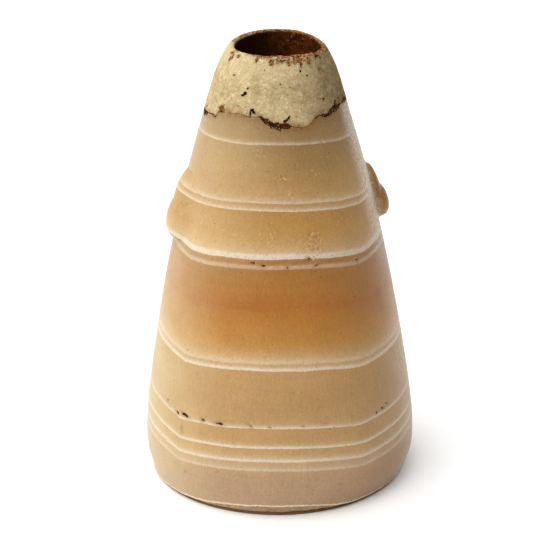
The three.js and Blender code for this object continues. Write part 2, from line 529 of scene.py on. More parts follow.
    def shape(self) -> None:
        """Carves lugs, break, foot chip, pits and slight unevenness, and stores what the finish reads."""
        cut = self.section
        points = self.points()
        x, y, z = points.T
        angle = np.degrees(np.arctan2(x, -y))
        radius = np.hypot(x, y)
        outside = (np.abs(radius - cut.wall(z)) < 0.8) & (z > 0.01)
        inside = (z > cut.bore_floor - 0.6) & (radius < cut.bore(z) + 0.5)
        share = np.clip((radius - cut.bore(z)) / (cut.wall(z) - cut.bore(z)), 0, 1)
        up = np.clip((z - self.break_start) / (self.break_line.mean - self.break_start), 0, 1)
        edge = self.break_line.height(angle)
        height = z + up * (edge - self.break_line.mean)
        slid = cut.bore(height) + share * (cut.wall(height) - cut.bore(height))
        radius = np.where(up > 0, slid, radius)
        rough = self.rough.at(points)
        radius = radius + outside * self.uneven * self.wobble.at(points)
        carved = np.zeros_like(radius)
        for lug in self.lugs:
            carved = carved + outside * lug.push(angle, height, radius)
        radius = radius + carved * (1 + 0.03 * rough)
        at, spread = zip(*self.foot_spread)
        low = np.clip(1 - z / self.spread_height, 0, 1) ** 2
        low = low * ease(radius, self.spread_start, self.spread_full)
        radius = radius + np.interp(angle, at, spread) * low
        at, level = zip(*self.chip_line)
        chip = np.interp(angle, at, level) + 0.1 * rough - z
        at_foot = (z < self.chip_top) & (z > self.step_height) & (radius > self.step_radius)
        lost = ease(chip, -0.04, 0.1) * (self.chip_step + self.chip_slope * np.maximum(chip, 0))
        radius = radius - at_foot * lost * (1 + 0.45 * rough)
        pit = deepest(self.pits, angle, height, radius)
        radius = radius - outside * self.pit_depth * ease(pit + 0.06 * rough, -0.05, 0.15)
        turn = np.radians(angle)
        aside = np.where(inside, cut.bore_aside, cut.bore_aside * (1 - share) * (up > 0))
        self.move(np.stack([radius * np.sin(turn) + aside, -radius * np.cos(turn), height], axis=1))
        self.paint("inside", inside * 1.0)
        self.paint("pits", 0.5 + 0.5 * pit)
        self.paint("scuff", 0.5 + 0.5 * deepest(self.scuffs, angle, height, radius))
        self.paint("above", self.crack.stored(height - edge))
        self.paint("gap", self.crack.half(angle))
        self.paint("chip", at_foot * (0.5 + 0.25 * chip))
        self.paint("lug", ease(carved, 0.05, 0.5))


@dataclass
class PlasterRim(Turned):
    """The plaster set on the broken neck: mouth, lip, flaked skin, pits and the crack along its joint."""

    section: Section
    break_line: BreakLine
    crack: JointCrack
    lip_drop_left: float = 0.3
    lip_drop_right: float = 0.7
    back_lift: float = 0.2
    fade_start: float = 80.0
    rim_aside: float = 0.2
    proud: float = 0.02
    uneven: float = 0.05
    skin: float = 0.14
    hole_depth: float = 0.4
    crack_depth: float = 0.22
    edge_loop: float = 0.12
    wall_rings: int = 18
    wall_end: float = 88.6
    lip_rings: tuple[tuple[float, float], ...] = (
        (9.72, 89.1), (9.45, 89.42), (9.05, 89.6), (8.7, 89.55), (8.47, 89.3), (8.4, 88.9),
    )
    mouth_heights: tuple[float, ...] = (88.2, 87.0, 85.2, 82.8, 80.2)
    worn_above: float = 88.4
    fine: Unevenness = Unevenness(0.55, 1.9, 0.25, 7.3, 0.6)
    coarse: Unevenness = Unevenness(3.2, 2.6, 1.3, 5.5, 0.5)
    holes: tuple[Mark, ...] = (
        Mark(-46.6, 85.5, 0.42, 0.18), Mark(-27.7, 83.7, 0.32, 0.16, 55),
        Mark(-29.4, 82.75, 0.36, 0.34, 20),
        Mark(-31.6, 82.35, 0.42, 0.2, 15), Mark(24.4, 86.8, 0.2, 0.2), Mark(31.0, 85.9, 0.16, 0.13),
        Mark(3.5, 84.8, 0.14, 0.13), Mark(43.9, 81.0, 0.25, 0.14), Mark(40.5, 81.2, 0.15, 0.14),
        Mark(-21.2, 79.85, 0.46, 0.26, 20), Mark(-19.4, 79.5, 0.3, 0.3), Mark(-22.2, 79.2, 0.22, 0.36),
        Mark(6.4, 77.9, 0.3, 0.3), Mark(8.2, 78.2, 0.55, 0.22, 35), Mark(10.2, 78.7, 0.36, 0.24, 60),
        Mark(-88.0, 77.9, 0.5, 0.45),
        Mark(-80.0, 77.6, 0.35, 0.45), Mark(58.0, 79.4, 0.75, 0.3, 50), Mark(66.0, 79.8, 0.35, 0.25, 60),
        Mark(76.0, 79.2, 0.6, 0.3, 20), Mark(-23.5, 78.5, 0.4, 0.2), Mark(51.0, 88.6, 0.5, 0.2),
        Mark(120.0, 82.5, 0.4, 0.3), Mark(165.0, 84.0, 0.3, 0.3), Mark(-140.0, 83.2, 0.45, 0.25, 20),
        Mark(-110.0, 86.1, 0.3, 0.2), Mark(140.0, 79.0, 0.8, 0.4, 30),
    )
    flakes: tuple[Mark, ...] = (
        Mark(-52.0, 78.9, 0.8, 0.7), Mark(-50.5, 79.6, 0.35, 0.5), Mark(-63.5, 89.0, 0.5, 0.45),
        Mark(-59.0, 88.5, 0.4, 0.6), Mark(-62.0, 88.0, 0.25, 0.5), Mark(-50.0, 88.8, 0.55, 0.35),
        Mark(-23.0, 88.8, 0.35, 0.5), Mark(-6.0, 88.6, 0.5, 0.7), Mark(5.0, 88.8, 1.2, 0.4),
        Mark(13.0, 88.6, 0.4, 0.55), Mark(24.0, 88.7, 1.5, 0.6), Mark(26.5, 88.0, 0.4, 0.7),
        Mark(37.0, 88.2, 0.45, 0.7), Mark(54.0, 88.6, 0.8, 0.5), Mark(48.0, 86.2, 0.25, 0.2),
        Mark(85.0, 88.3, 0.6, 0.5), Mark(115.0, 88.2, 0.7, 0.6), Mark(150.0, 88.4, 0.9, 0.5),
        Mark(-165.0, 88.2, 0.8, 0.6), Mark(-135.0, 88.5, 0.7, 0.6), Mark(-106.0, 88.9, 0.9, 0.4),
        Mark(170.0, 79.0, 0.8, 0.7), Mark(-118.0, 78.4, 0.7, 0.5),
    )
    bare_lip: tuple[tuple[float, float], ...] = (
        (-180, 0.3), (-150, 0.2), (-120, 0.1), (-104, -0.05), (-90, -0.25), (-66, -0.1), (-48, -0.15),
        (-34, 0.1), (-20, 0.4), (0, 0.4), (16, 0.4), (24, 0.6), (34, 0.6), (45, 0.4), (60, 0.45),
        (80, 0.3), (100, 0.4), (130, 0.45), (150, 0.4), (180, 0.3),
    )

    def __post_init__(self) -> None:
        """Names the piece and sets its ring size."""
        super().__init__("plaster_mouth", 128)

    def build(self) -> None:
        """Turns the rim as a closed ring and subdivides it."""
        cut = self.section
        foot = self.break_line.mean
        rows = cut.outer((foot,))
        rows += cut.outer(np.linspace(foot + self.edge_loop, self.wall_end, self.wall_rings))
        rows += self.lip_rings
        rows += cut.inner((*self.mouth_heights, foot))
        rim, well = rows[0][0], rows[-1][0]
        rows += [(0.5 * (well + rim), foot), (rim - self.edge_loop, foot), rows[0]]
        self.rings(rows)
        self.finish_mesh(2)

    def shape(self) -> None:
        """Fits the joint, wears the lip, flakes the skin and cuts pits and crack."""
        cut = self.section
        points = self.points()
        x, y, z = points.T
        angle = np.degrees(np.arctan2(x, -y))
        radius = np.hypot(x, y)
        foot = self.break_line.mean
        share = np.clip((radius - cut.bore(z)) / (cut.wall(z) - cut.bore(z)), 0, 1)
        edge = self.break_line.height(angle)
        down = np.clip((self.fade_start + 3 - z) / (self.fade_start + 3 - foot), 0, 1)
        up = np.clip((z - self.fade_start) / (cut.top - self.fade_start), 0, 1)
        side = np.sin(np.radians(angle))
        drop = side**2 * np.where(side > 0, self.lip_drop_right, self.lip_drop_left)
        drop = drop - self.back_lift * ease(-np.cos(np.radians(angle)), 0.2, 0.9)
        worn = 0.14 * grain(points, 1.6, 4.4) + 0.12 * grain(points, 0.6, 9.1)
        height = z + down * (edge - foot) - up * (drop - worn * (z > self.worn_above))
        radius = radius + share * (cut.wall(height + up * drop) - cut.wall(z))
        fine, coarse = self.fine.at(points), self.coarse.at(points)
        above = height - edge
        outer = ease(share, 0.45, 0.75)
        radius = radius + outer * (self.proud + self.uneven * coarse) * ease(above, -0.1, 0.4)
        below_lip = (cut.top - drop) - height
        at, reach = zip(*self.bare_lip)
        lip = np.interp(angle, at, reach) - below_lip * (0.4 + 0.6 * outer)
        bare = np.maximum(deepest(self.flakes, angle, height, radius), lip)
        hole = deepest(self.holes, angle, height, radius)
        gap = self.crack.half(angle)
        peel = ease(bare + 0.16 * fine, 0.0, 0.12) * outer
        pit = ease(hole + 0.08 * fine, 0.0, 0.12) * outer
        parted = ease(gap - above + 0.2 * fine + 0.15 * coarse, 0.1, 0.25) * outer
        radius = radius - self.skin * peel - self.hole_depth * pit - self.crack_depth * parted
        turn = np.radians(angle)
        aside = cut.bore_aside * (1 - share) + self.rim_aside * share * up
        self.move(np.stack([radius * np.sin(turn) + aside, -radius * np.cos(turn), height], axis=1))
        self.paint("inside", ease(share, 0.3, 0.02) * ease(below_lip, 0.15, 0.6))
        self.paint("bare", 0.5 + 0.5 * bare)
        self.paint("hole", 0.5 + 0.5 * hole)
        self.paint("above", self.crack.stored(above))
        self.paint("gap", gap)


class Value:
    """A number on its way through a finish, with arithmetic that adds the nodes it needs."""

    def __init__(self, graph: "Graph", socket: bpy.types.NodeSocket) -> None:
        """Wraps a socket of a graph."""
        self.graph = graph
        self.socket = socket

    def math(self, operation: str, *others: Union["Value", float]) -> "Value":
        """Adds a Math node on this value.

        Args:
            operation: The node's operation.
            others: Its further inputs.

        Returns:
            The node's result.
        """
        values = dict(enumerate((self, *others)))
        node = self.graph.node("ShaderNodeMath", {"operation": operation}, values)
        return Value(self.graph, node.outputs[0])

    def __add__(self, other: Union["Value", float]) -> "Value":
        """Sum."""
        return self.math("ADD", other)

    def __radd__(self, other: float) -> "Value":
        """Sum with a number in front."""
        return self.math("ADD", other)

    def __sub__(self, other: Union["Value", float]) -> "Value":
        """Difference."""
        return self.math("SUBTRACT", other)

    def __rsub__(self, other: float) -> "Value":
        """A number less this value."""
        return (self * -1.0) + other

    def __mul__(self, other: Union["Value", float]) -> "Value":
        """Product."""
        return self.math("MULTIPLY", other)

    def __rmul__(self, other: float) -> "Value":
        """Product with a number in front."""
        return self.math("MULTIPLY", other)

    def __neg__(self) -> "Value":
        """This value with its sign turned."""
        return self * -1.0

    def above(self, floor: Union["Value", float]) -> "Value":
        """The larger of this value and another."""
        return self.math("MAXIMUM", floor)

    def below(self, ceiling: Union["Value", float]) -> "Value":
        """The smaller of this value and another."""
        return self.math("MINIMUM", ceiling)

    def capped(self, ceiling: float) -> "Value":
        """This value kept from 0 to a ceiling."""
        return self.above(0.0).below(ceiling)

    def share_of(self, other: "Value") -> "Value":
        """This value over the length that it and another make, from -1 to 1."""
        return self.math("DIVIDE", (self * self + other * other).math("SQRT"))

    def rise(self, low: float, high: float) -> "Value":
        """Rises smoothly from 0 at low to 1 at high, or falls where low is the larger.

        Args:
            low: Value that gives 0.
            high: Value that gives 1.

        Returns:
            The eased value.
        """
        inputs = {0: self, 1: min(low, high), 2: max(low, high)}
        inputs |= {3: 0.0, 4: 1.0} if low < high else {3: 1.0, 4: 0.0}
        node = self.graph.node("ShaderNodeMapRange", {"interpolation_type": "SMOOTHSTEP"}, inputs)
        return Value(self.graph, node.outputs[0])

    def fade(self, length: float) -> "Value":
        """Falls off from 1 as this value grows from 0, by a half for about each 0.7 length."""
        powers = {0: math.e, 1: self * (-1.0 / length)}
        node = self.graph.node("ShaderNodeMath", {"operation": "POWER"}, powers)
        return Value(self.graph, node.outputs[0])


Paint = Union[bpy.types.NodeSocket, Colour]


class Graph:
    """The node tree of one finish."""

    def __init__(self, name: str) -> None:
        """Makes an empty material with a name."""
        self.material = bpy.data.materials.new(name)
        self.material.use_nodes = True
        self.tree = self.material.node_tree
        self.tree.nodes.clear()

    def node(self, kind: str, settings: dict[str, Any], inputs: dict[Any, Any]) -> bpy.types.Node:
        """Adds a node, sets it, then fills its sockets.

        Args:
            kind: The node's type.
            settings: Its properties; stops holds a ramp's places and colours.
            inputs: A value or link for each socket, by name or number.

        Returns:
            The node.
        """
        made = self.tree.nodes.new(kind)
        for key, setting in settings.items():
            if key == "stops":
                ramp = made.color_ramp
                while len(ramp.elements) < len(setting):
                    ramp.elements.new(1.0)
                for element, (place, colour) in zip(ramp.elements, setting):
                    element.position = place
                    element.color = (*colour, 1.0)
            else:
                setattr(made, key, setting)
        for key, value in inputs.items():
            socket = made.inputs[key]
            if isinstance(value, Value):
                self.tree.links.new(value.socket, socket)
            elif isinstance(value, bpy.types.NodeSocket):
                self.tree.links.new(value, socket)
            elif isinstance(value, tuple) and socket.type == "RGBA":
                socket.default_value = (*value, 1.0)
            else:
                socket.default_value = value
        return made

    def place(self) -> tuple[bpy.types.NodeSocket, Value, Value, Value]:
        """Object coordinates in millimetres.

        Returns:
            The vector and its three parts.
        """
        where = self.node("ShaderNodeTexCoord", {}, {}).outputs["Object"]
        scaled = self.node(
            "ShaderNodeVectorMath", {"operation": "SCALE"}, {0: where, "Scale": 1.0 / MM}
        ).outputs[0]
        parts = self.node("ShaderNodeSeparateXYZ", {}, {0: scaled}).outputs
        return scaled, Value(self, parts[0]), Value(self, parts[1]), Value(self, parts[2])

    def layer(self, name: str) -> Value:
        """The value that a piece stores under a name."""
        node = self.node("ShaderNodeAttribute", {"attribute_name": name}, {})
        return Value(self, node.outputs["Fac"])

    def signed(self, name: str, scale: float = 2.0) -> Value:
        """A distance that a piece stores about a half, back in millimetres."""
        return (self.layer(name) - 0.5) * scale

    def noise(
        self,
        where: bpy.types.NodeSocket,
        cell: float,
        detail: float = 2.0,
        stretch: tuple[float, float, float] = (1, 1, 1),
        shift: tuple[float, float, float] = (0, 0, 0),
        turn: float = 0.0,
    ) -> Value:
        """Noise about 0, from about -0.5 to 0.5.

        Args:
            where: Coordinates in millimetres.
            cell: Size of its cells in millimetres.
            detail: Octaves of finer noise.
            stretch: How much longer the cells are along each axis.
            shift: Offset in millimetres that picks another part of the noise.
            turn: Degrees that the stretched cells are turned in the front view.

        Returns:
            The noise.
        """
        inputs = {
            "Vector": where,
            "Location": tuple(11.0 * s for s in shift),
            "Rotation": (0.0, math.radians(turn), 0.0),
            "Scale": tuple(cell * s for s in stretch),
        }
        mapped = self.node("ShaderNodeMapping", {"vector_type": "TEXTURE"}, inputs).outputs[0]
        made = self.node(
            "ShaderNodeTexNoise", {}, {"Vector": mapped, "Scale": 1.0, "Detail": detail, "Roughness": 0.55}
        )
        return Value(self, made.outputs["Fac"]) - 0.5

    def mix(self, low: Paint, high: Paint, factor: Union[Value, float]) -> bpy.types.NodeSocket:
        """Blends two colours.

        Args:
            low: Colour where the factor is 0.
            high: Colour where the factor is 1.
            factor: The share of the second colour.

        Returns:
            The blended colour.
        """
        settings = {"data_type": "RGBA", "clamp_factor": True}
        return self.node("ShaderNodeMix", settings, {0: factor, 6: low, 7: high}).outputs[2]

    def tint(self, colour: Paint, amount: Value) -> bpy.types.NodeSocket:
        """Multiplies a colour by a grey value."""
        return self.node(
            "ShaderNodeVectorMath", {"operation": "SCALE"}, {0: colour, "Scale": amount}
        ).outputs[0]

    def surface(
        self,
        colour: Paint,
        roughness: Value,
        height: Value,
        depth: float,
        constants: dict[str, Any],
    ) -> bpy.types.Material:
        """Ends the finish in a shader.

        Args:
            colour: Base colour.
            roughness: Roughness over the surface.
            height: Fine relief from about -1 to 1.
            depth: Depth of that relief in millimetres.
            constants: Fixed values of the shader's other sockets.

        Returns:
            The material.
        """
        bump = self.node(
            "ShaderNodeBump", {}, {"Strength": 1.0, "Distance": depth * MM, "Height": height}
        ).outputs[0]
        inputs = {"Base Color": colour, "Roughness": roughness, "Normal": bump, **constants}
        shader = self.node("ShaderNodeBsdfPrincipled", {}, inputs).outputs[0]
        self.node("ShaderNodeOutputMaterial", {}, {"Surface": shader})
        return self.material


@dataclass(frozen=True)
class Band:
    """A pale growth band of the stone: crisp at its foot, fading upwards."""

    foot: float
    core: float
    fade: float
    strength: float
    crisp: float = 0.16


@dataclass(frozen=True)
class Zone:
    """Ground colour of the stone at a height in its layers."""

    height: float
    colour: Colour


@dataclass(frozen=True)
class StoneGrain:
    """Coordinates and noises that the parts of the stone's finish share."""

    where: bpy.types.NodeSocket
    x: Value
    y: Value
    z: Value
    side: Value
    lug: Value
    cloud: Value
    fibre: Value
    speck: Value
    crust: Value


@dataclass(frozen=True)
class AlabasterFinish:
    """Banded honey-coloured calcite with pale growth bands, fibres, flecks and pits."""

    crack: JointCrack
    name: str = "banded_alabaster"
    layers_high: float = 80.0
    zones: tuple[Zone, ...] = (
        Zone(3.0, srgb(190, 155, 117)), Zone(9.0, srgb(190, 152, 111)), Zone(12.5, srgb(204, 166, 114)),
        Zone(15.0, srgb(198, 155, 94)), Zone(20.0, srgb(193, 151, 93)), Zone(29.5, srgb(192, 149, 89)),
        Zone(33.0, srgb(202, 155, 86)), Zone(36.0, srgb(191, 134, 52)), Zone(40.0, srgb(184, 122, 36)),
        Zone(43.0, srgb(177, 108, 24)), Zone(46.0, srgb(178, 117, 42)), Zone(51.5, srgb(170, 115, 50)),
        Zone(54.0, srgb(203, 156, 90)), Zone(57.0, srgb(194, 146, 76)), Zone(61.0, srgb(185, 137, 70)),
        Zone(65.0, srgb(190, 148, 88)), Zone(70.0, srgb(182, 144, 87)), Zone(76.0, srgb(164, 129, 80)),
        Zone(78.0, srgb(148, 114, 66)),
    )
    bands: tuple[Band, ...] = (
        Band(73.55, 0.25, 0.3, 0.6), Band(62.75, 0.2, 0.8, 0.6, 0.12), Band(61.3, 0.25, 0.45, 0.75, 0.12),
        Band(52.2, 0.75, 0.35, 1.0), Band(52.9, 0.0, 1.5, 0.4, 0.6), Band(50.3, 0.65, 0.2, 0.45, 0.3),
        Band(31.9, 0.5, 0.9, 0.5, 0.5), Band(30.5, 0.45, 0.4, 0.95), Band(18.95, 0.2, 0.4, 0.9),
        Band(14.95, 0.32, 0.3, 1.0), Band(12.15, 0.4, 0.35, 0.95, 0.3), Band(10.25, 0.3, 0.5, 0.55, 0.3),
    )
    pale: Colour = srgb(234, 216, 190)
    fleck: Colour = srgb(226, 196, 138)
    stain: Colour = srgb(34, 16, 6)
    rust: Colour = srgb(160, 104, 50)
    # Pale crust along the right limb, partly a painted grazing sheen.
    pale_crust_and_sheen: Colour = srgb(236, 222, 198)
    # Colour of the painted sheen on the left side.
    painted_sheen: Colour = srgb(226, 207, 156)
    # Brown patina, also the colour of the painted shade on the right side.
    patina_and_painted_shade: Colour = srgb(150, 98, 40)
    # Brown dirt, also the colour of the painted contact shade at the foot's step.
    dirt_and_contact_shade: Colour = srgb(104, 64, 28)
    # Colour of the painted highlight along the foot's arris.
    arris: Colour = srgb(240, 222, 194)
    # Dark colour of the drilled well: painted shade inside the pot.
    well: Colour = srgb(50, 20, 5)
    left_curve: float = 0.0034
    left_hinge: float = 21.0
    left_hinge_slope: float = 0.08
    left_rise: float = 0.25
    right_curve: float = 0.0066
    right_hinge: float = 16.2
    right_rise: float = 0.13
    right_round: float = 1.2
    wobble: float = 0.5
    feather: float = 0.3
    tone: float = 0.83
    # Place of the painted shadow under the plaster.
    painted_shadow_aside: float = 6.0
    painted_shadow_height: float = 71.5
    scatter: float = 0.12
    scatter_depth: float = 1.5
    coat_roughness: float = 0.38
    relief: float = 0.05

    def strata(self, graph: Graph, where: bpy.types.NodeSocket, x: Value, z: Value) -> Value:
        """Height within the folded layers of the stone.

        Args:
            graph: The finish's graph.
            where: Coordinates in millimetres.
            x: Their part to the right.
            z: Their part upwards.

        Returns:
            The height in the layers, in millimetres.
        """
        left = (-x).above(0.0)
        hinge = self.left_hinge - z * self.left_hinge_slope
        bend = left.below(hinge)
        fall_left = bend * bend * self.left_curve - (left - hinge).above(0.0) * self.left_rise
        right = x.above(0.0)
        past = right - self.right_hinge
        past = (past + (past * past + self.right_round).math("SQRT")) * 0.5
        bend = right - past
        fall_right = bend * bend * self.right_curve - past * self.right_rise
        wave = graph.noise(where, 9.0, 1.0) * self.wobble
        fibre = graph.noise(where, 0.45, 2.0, (1, 1, 2.5), (3, 1, 7)) * self.feather
        return z + fall_left + fall_right + wave + fibre

    def whiteness(self, layer: Value) -> Value:
        """How white the growth bands make the stone at a height in its layers.

        Args:
            layer: Height in the layers.

        Returns:
            The share of white, from 0 to 1.
        """
        total: Value = None
        for band in self.bands:
            over = layer - band.foot
            shown = over.rise(-0.5 * band.crisp, 0.5 * band.crisp) * band.strength
            shown = shown * (over - band.core).above(0.0).fade(band.fade)
            total = shown if total is None else total + shown
        return total.below(1.0)

    def shared(self, graph: Graph) -> StoneGrain:
        """Makes the coordinates and noises that the finish shares."""
        where, x, y, z = graph.place()
        side = x.share_of(y)
        return StoneGrain(
            where, x, y, z, side,
            lug=graph.layer("lug") * side.rise(-0.2, 0.2),
            cloud=graph.noise(where, 7.0, 3.0, (1, 1, 0.8), (5, 2, 1)),
            fibre=graph.noise(where, 0.5, 3.0, (1, 1, 9), (1, 4, 2)),
            speck=graph.noise(where, 0.35, 2.0, (1, 1, 1.4), (9, 3, 5)),
            crust=graph.noise(where, 0.7, 3.0, (1.6, 1.6, 1), (4, 9, 2)),
        )

    def banded(self, graph: Graph, at: StoneGrain) -> bpy.types.NodeSocket:
        """Colours the folded layers with their pale bands, flecks and scuffs.

        Args:
            graph: The finish's graph.
            at: Coordinates and noises.

        Returns:
            The colour.
        """
        layer = self.strata(graph, at.where, at.x, at.z)
        stops = [(zone.height / self.layers_high, zone.colour) for zone in self.zones]
        ramp = {0: layer * (1.0 / self.layers_high)}
        ground = graph.node("ShaderNodeValToRGB", {"stops": stops}, ramp).outputs[0]
        seam = graph.noise(at.where, 0.9, 3.0, (30, 30, 1), (2, 6, 3))
        grey = 1.0 + at.cloud * 0.22 + at.fibre * 0.28 + seam * 0.16 + at.speck * 0.5
        white = self.whiteness(layer) * (0.95 + at.speck * 1.1 + at.crust * 0.9).below(1.0)
        colour = graph.mix(graph.tint(ground, grey), self.pale, white * (1.0 - at.lug * 0.9))
        crowd = graph.noise(at.where, 6.0, 1.0, (1, 1, 1), (7, 5, 3)).rise(0.0, 0.2)
        flakes = graph.noise(at.where, 0.4, 1.0, (1, 1, 1.3), (6, 2, 8))
        scuff = (graph.signed("scuff") + at.crust * 2.0).rise(-0.2, 0.6)
        fleck = flakes.rise(0.15, 0.23) * (0.1 + crowd * 0.7) * (0.2 + at.z.rise(49.0, 54.0) * 0.8)
        fleck = fleck.above(scuff * flakes.rise(0.08, 0.16) * 0.75)
        colour = graph.mix(colour, self.patina_and_painted_shade, scuff * flakes.rise(-0.06, -0.14) * 0.55)
        return graph.mix(colour, self.fleck, fleck)

    def weather_and_painted_light(
        self, graph: Graph, at: StoneGrain, colour: bpy.types.NodeSocket
    ) -> bpy.types.NodeSocket:
        """Lays a pale crust with painted sheen on the right limb, painted sheen on the left, painted shade
        on the right, and a patina, partly painted shade, on the right lug.

        Args:
            graph: The finish's graph.
            at: Coordinates and noises.
            colour: The colour so far.

        Returns:
            The colour with these tones.
        """
        side, z, speck, crust = at.side, at.z, at.speck, at.crust
        limb = side.rise(0.87, 0.96) * (1.0 - at.lug)
        # Pale speckled crust along the right limb, partly a painted grazing sheen.
        crust_and_sheen = limb * (0.2 + z.rise(44.0, 57.0) * 0.8) * (0.45 + speck * 2.0 + crust * 1.2).capped(0.9)
        # Painted sheen: pale along the left limb and fainter higher up on the left side.
        left = side.rise(-0.05, -0.5) * (1.0 - side.rise(-0.6, -0.9) * 0.6) * z.rise(45.0, 55.0)
        painted_sheen = side.rise(-0.35, -0.98) * (0.36 + at.cloud * 0.3) * (1.0 - z.rise(30.0, 66.0) * 0.75)
        colour = graph.mix(graph.mix(colour, self.pale_crust_and_sheen, crust_and_sheen), self.painted_sheen, painted_sheen + left * 0.14)
        colour = graph.mix(colour, self.dirt_and_contact_shade, limb * (crust - speck).rise(0.08, 0.25) * 0.45)
        # Painted shade: the right side below the shoulder and the right of the foot are darkened.
        shade = side.rise(0.05, 0.8) * z.rise(62.0, 52.0) * 0.2
        shade = shade + side.rise(0.4, 0.95) * z.rise(16.0, 4.0) * 0.15
        colour = graph.mix(colour, self.patina_and_painted_shade, shade)
        # Right lug only: brown patina, partly painted shade on the lug turned from the light.
        colour = graph.mix(colour, self.patina_and_painted_shade, at.lug * (0.5 + speck * 0.9).capped(0.9))
        return graph.mix(colour, self.dirt_and_contact_shade, at.lug * (crust + speck * 0.8).rise(0.06, 0.2) * 0.45)

    def chipped(
        self, graph: Graph, at: StoneGrain, colour: bpy.types.NodeSocket
    ) -> tuple[bpy.types.NodeSocket, Value]:
        """Draws the chipped edge, and the foot's low step darkened with dirt and painted contact shade.

        Args:
            graph: The finish's graph.
            at: Coordinates and noises.
            colour: The colour so far.

        Returns:
            The colour with the foot, and how much of the painted highlight along the edge above the chip
            shows.
        """
        chip = graph.signed("chip", 4.0) + at.speck * 0.35
        face = chip.rise(0.0, 0.15)
        dirt = face * (0.15 + at.speck * 1.6 + at.crust).capped(0.7)
        colour = graph.mix(colour, self.dirt_and_contact_shade, dirt)
        colour = graph.mix(colour, self.fleck, face * (at.speck - at.crust).rise(0.06, 0.2) * 0.7)
        # Painted contact shade with dirt: the recessed step at the bottom is darkened to brown.
        colour = graph.mix(colour, self.dirt_and_contact_shade, at.z.rise(0.74, 0.6) * 0.9)
        return colour, (chip.rise(-0.5, -0.1) - face).above(0.0)

    def toned(self, graph: Graph, at: StoneGrain, colour: bpy.types.NodeSocket) -> bpy.types.NodeSocket:
        """Sets the stone's tone, with a painted shadow under the joint and painted shade at the right.

        Args:
            graph: The finish's graph.
            at: Coordinates and noises.
            colour: The colour so far.

        Returns:
            The toned colour.
        """
        # Painted shadow under the plaster right of the front, and painted shade along the right limb.
        aside, up = at.x - self.painted_shadow_aside, at.z - self.painted_shadow_height
        painted_shadow = (aside * aside * 0.014 + up * up * 0.035).fade(1.0) * at.y.rise(2.0, -4.0)
        return graph.tint(colour, self.tone - painted_shadow * 0.16 - at.side.rise(0.45, 0.95) * 0.08)

    def material(self) -> bpy.types.Material:
        """Builds the stone.

        Returns:
            The material.
        """
        graph = Graph(self.name)
        at = self.shared(graph)
        colour = self.weather_and_painted_light(graph, at, self.banded(graph, at))
        colour, lit_edge = self.chipped(graph, at, colour)
        spots = graph.noise(at.where, 0.5, 1.0, (1, 1, 0.8), (2, 8, 4)).rise(0.24, 0.29)
        colour = graph.mix(colour, self.dirt_and_contact_shade, spots * 0.6)
        pits = graph.signed("pits") + at.speck * 0.5 + at.fibre * 0.2 - 0.05
        dark = pits.rise(-0.03, 0.05)
        colour = graph.mix(colour, self.rust, pits.rise(-0.5, 0.0) * 0.35)
        colour = self.toned(graph, at, graph.mix(colour, self.stain, dark * 0.95))
        # Painted highlight along the lit arris above the chip.
        colour = graph.mix(colour, self.arris, lit_edge * (0.9 + at.crust))
        colour, crack = self.crack.shade(graph, at.where, colour)
        # Painted shade: the whole drilled well is darkened.
        inside = graph.layer("inside")
        colour = graph.mix(colour, self.well, inside)
        matt = (dark + inside + crack + spots).below(1.0)
        rough = 0.5 + at.cloud * 0.12 + matt * 0.4
        relief = at.speck * 0.5 + at.fibre * 0.4 - spots * 0.8 - dark * 2.0 - crack * 2.0
        constants = {
            "Subsurface Weight": self.scatter,
            "Subsurface Radius": (1.0, 0.6, 0.3),
            "Subsurface Scale": self.scatter_depth * MM,
            "Specular IOR Level": 0.05,
            "Coat Weight": (0.65 + at.cloud * 0.4 - matt).above(0.0),
            "Coat Roughness": self.coat_roughness,
            "Coat IOR": 1.55,
            "Sheen Weight": 0.06,
            "Sheen Roughness": 0.4,
        }
        return graph.surface(colour, rough, relief, self.relief, constants)


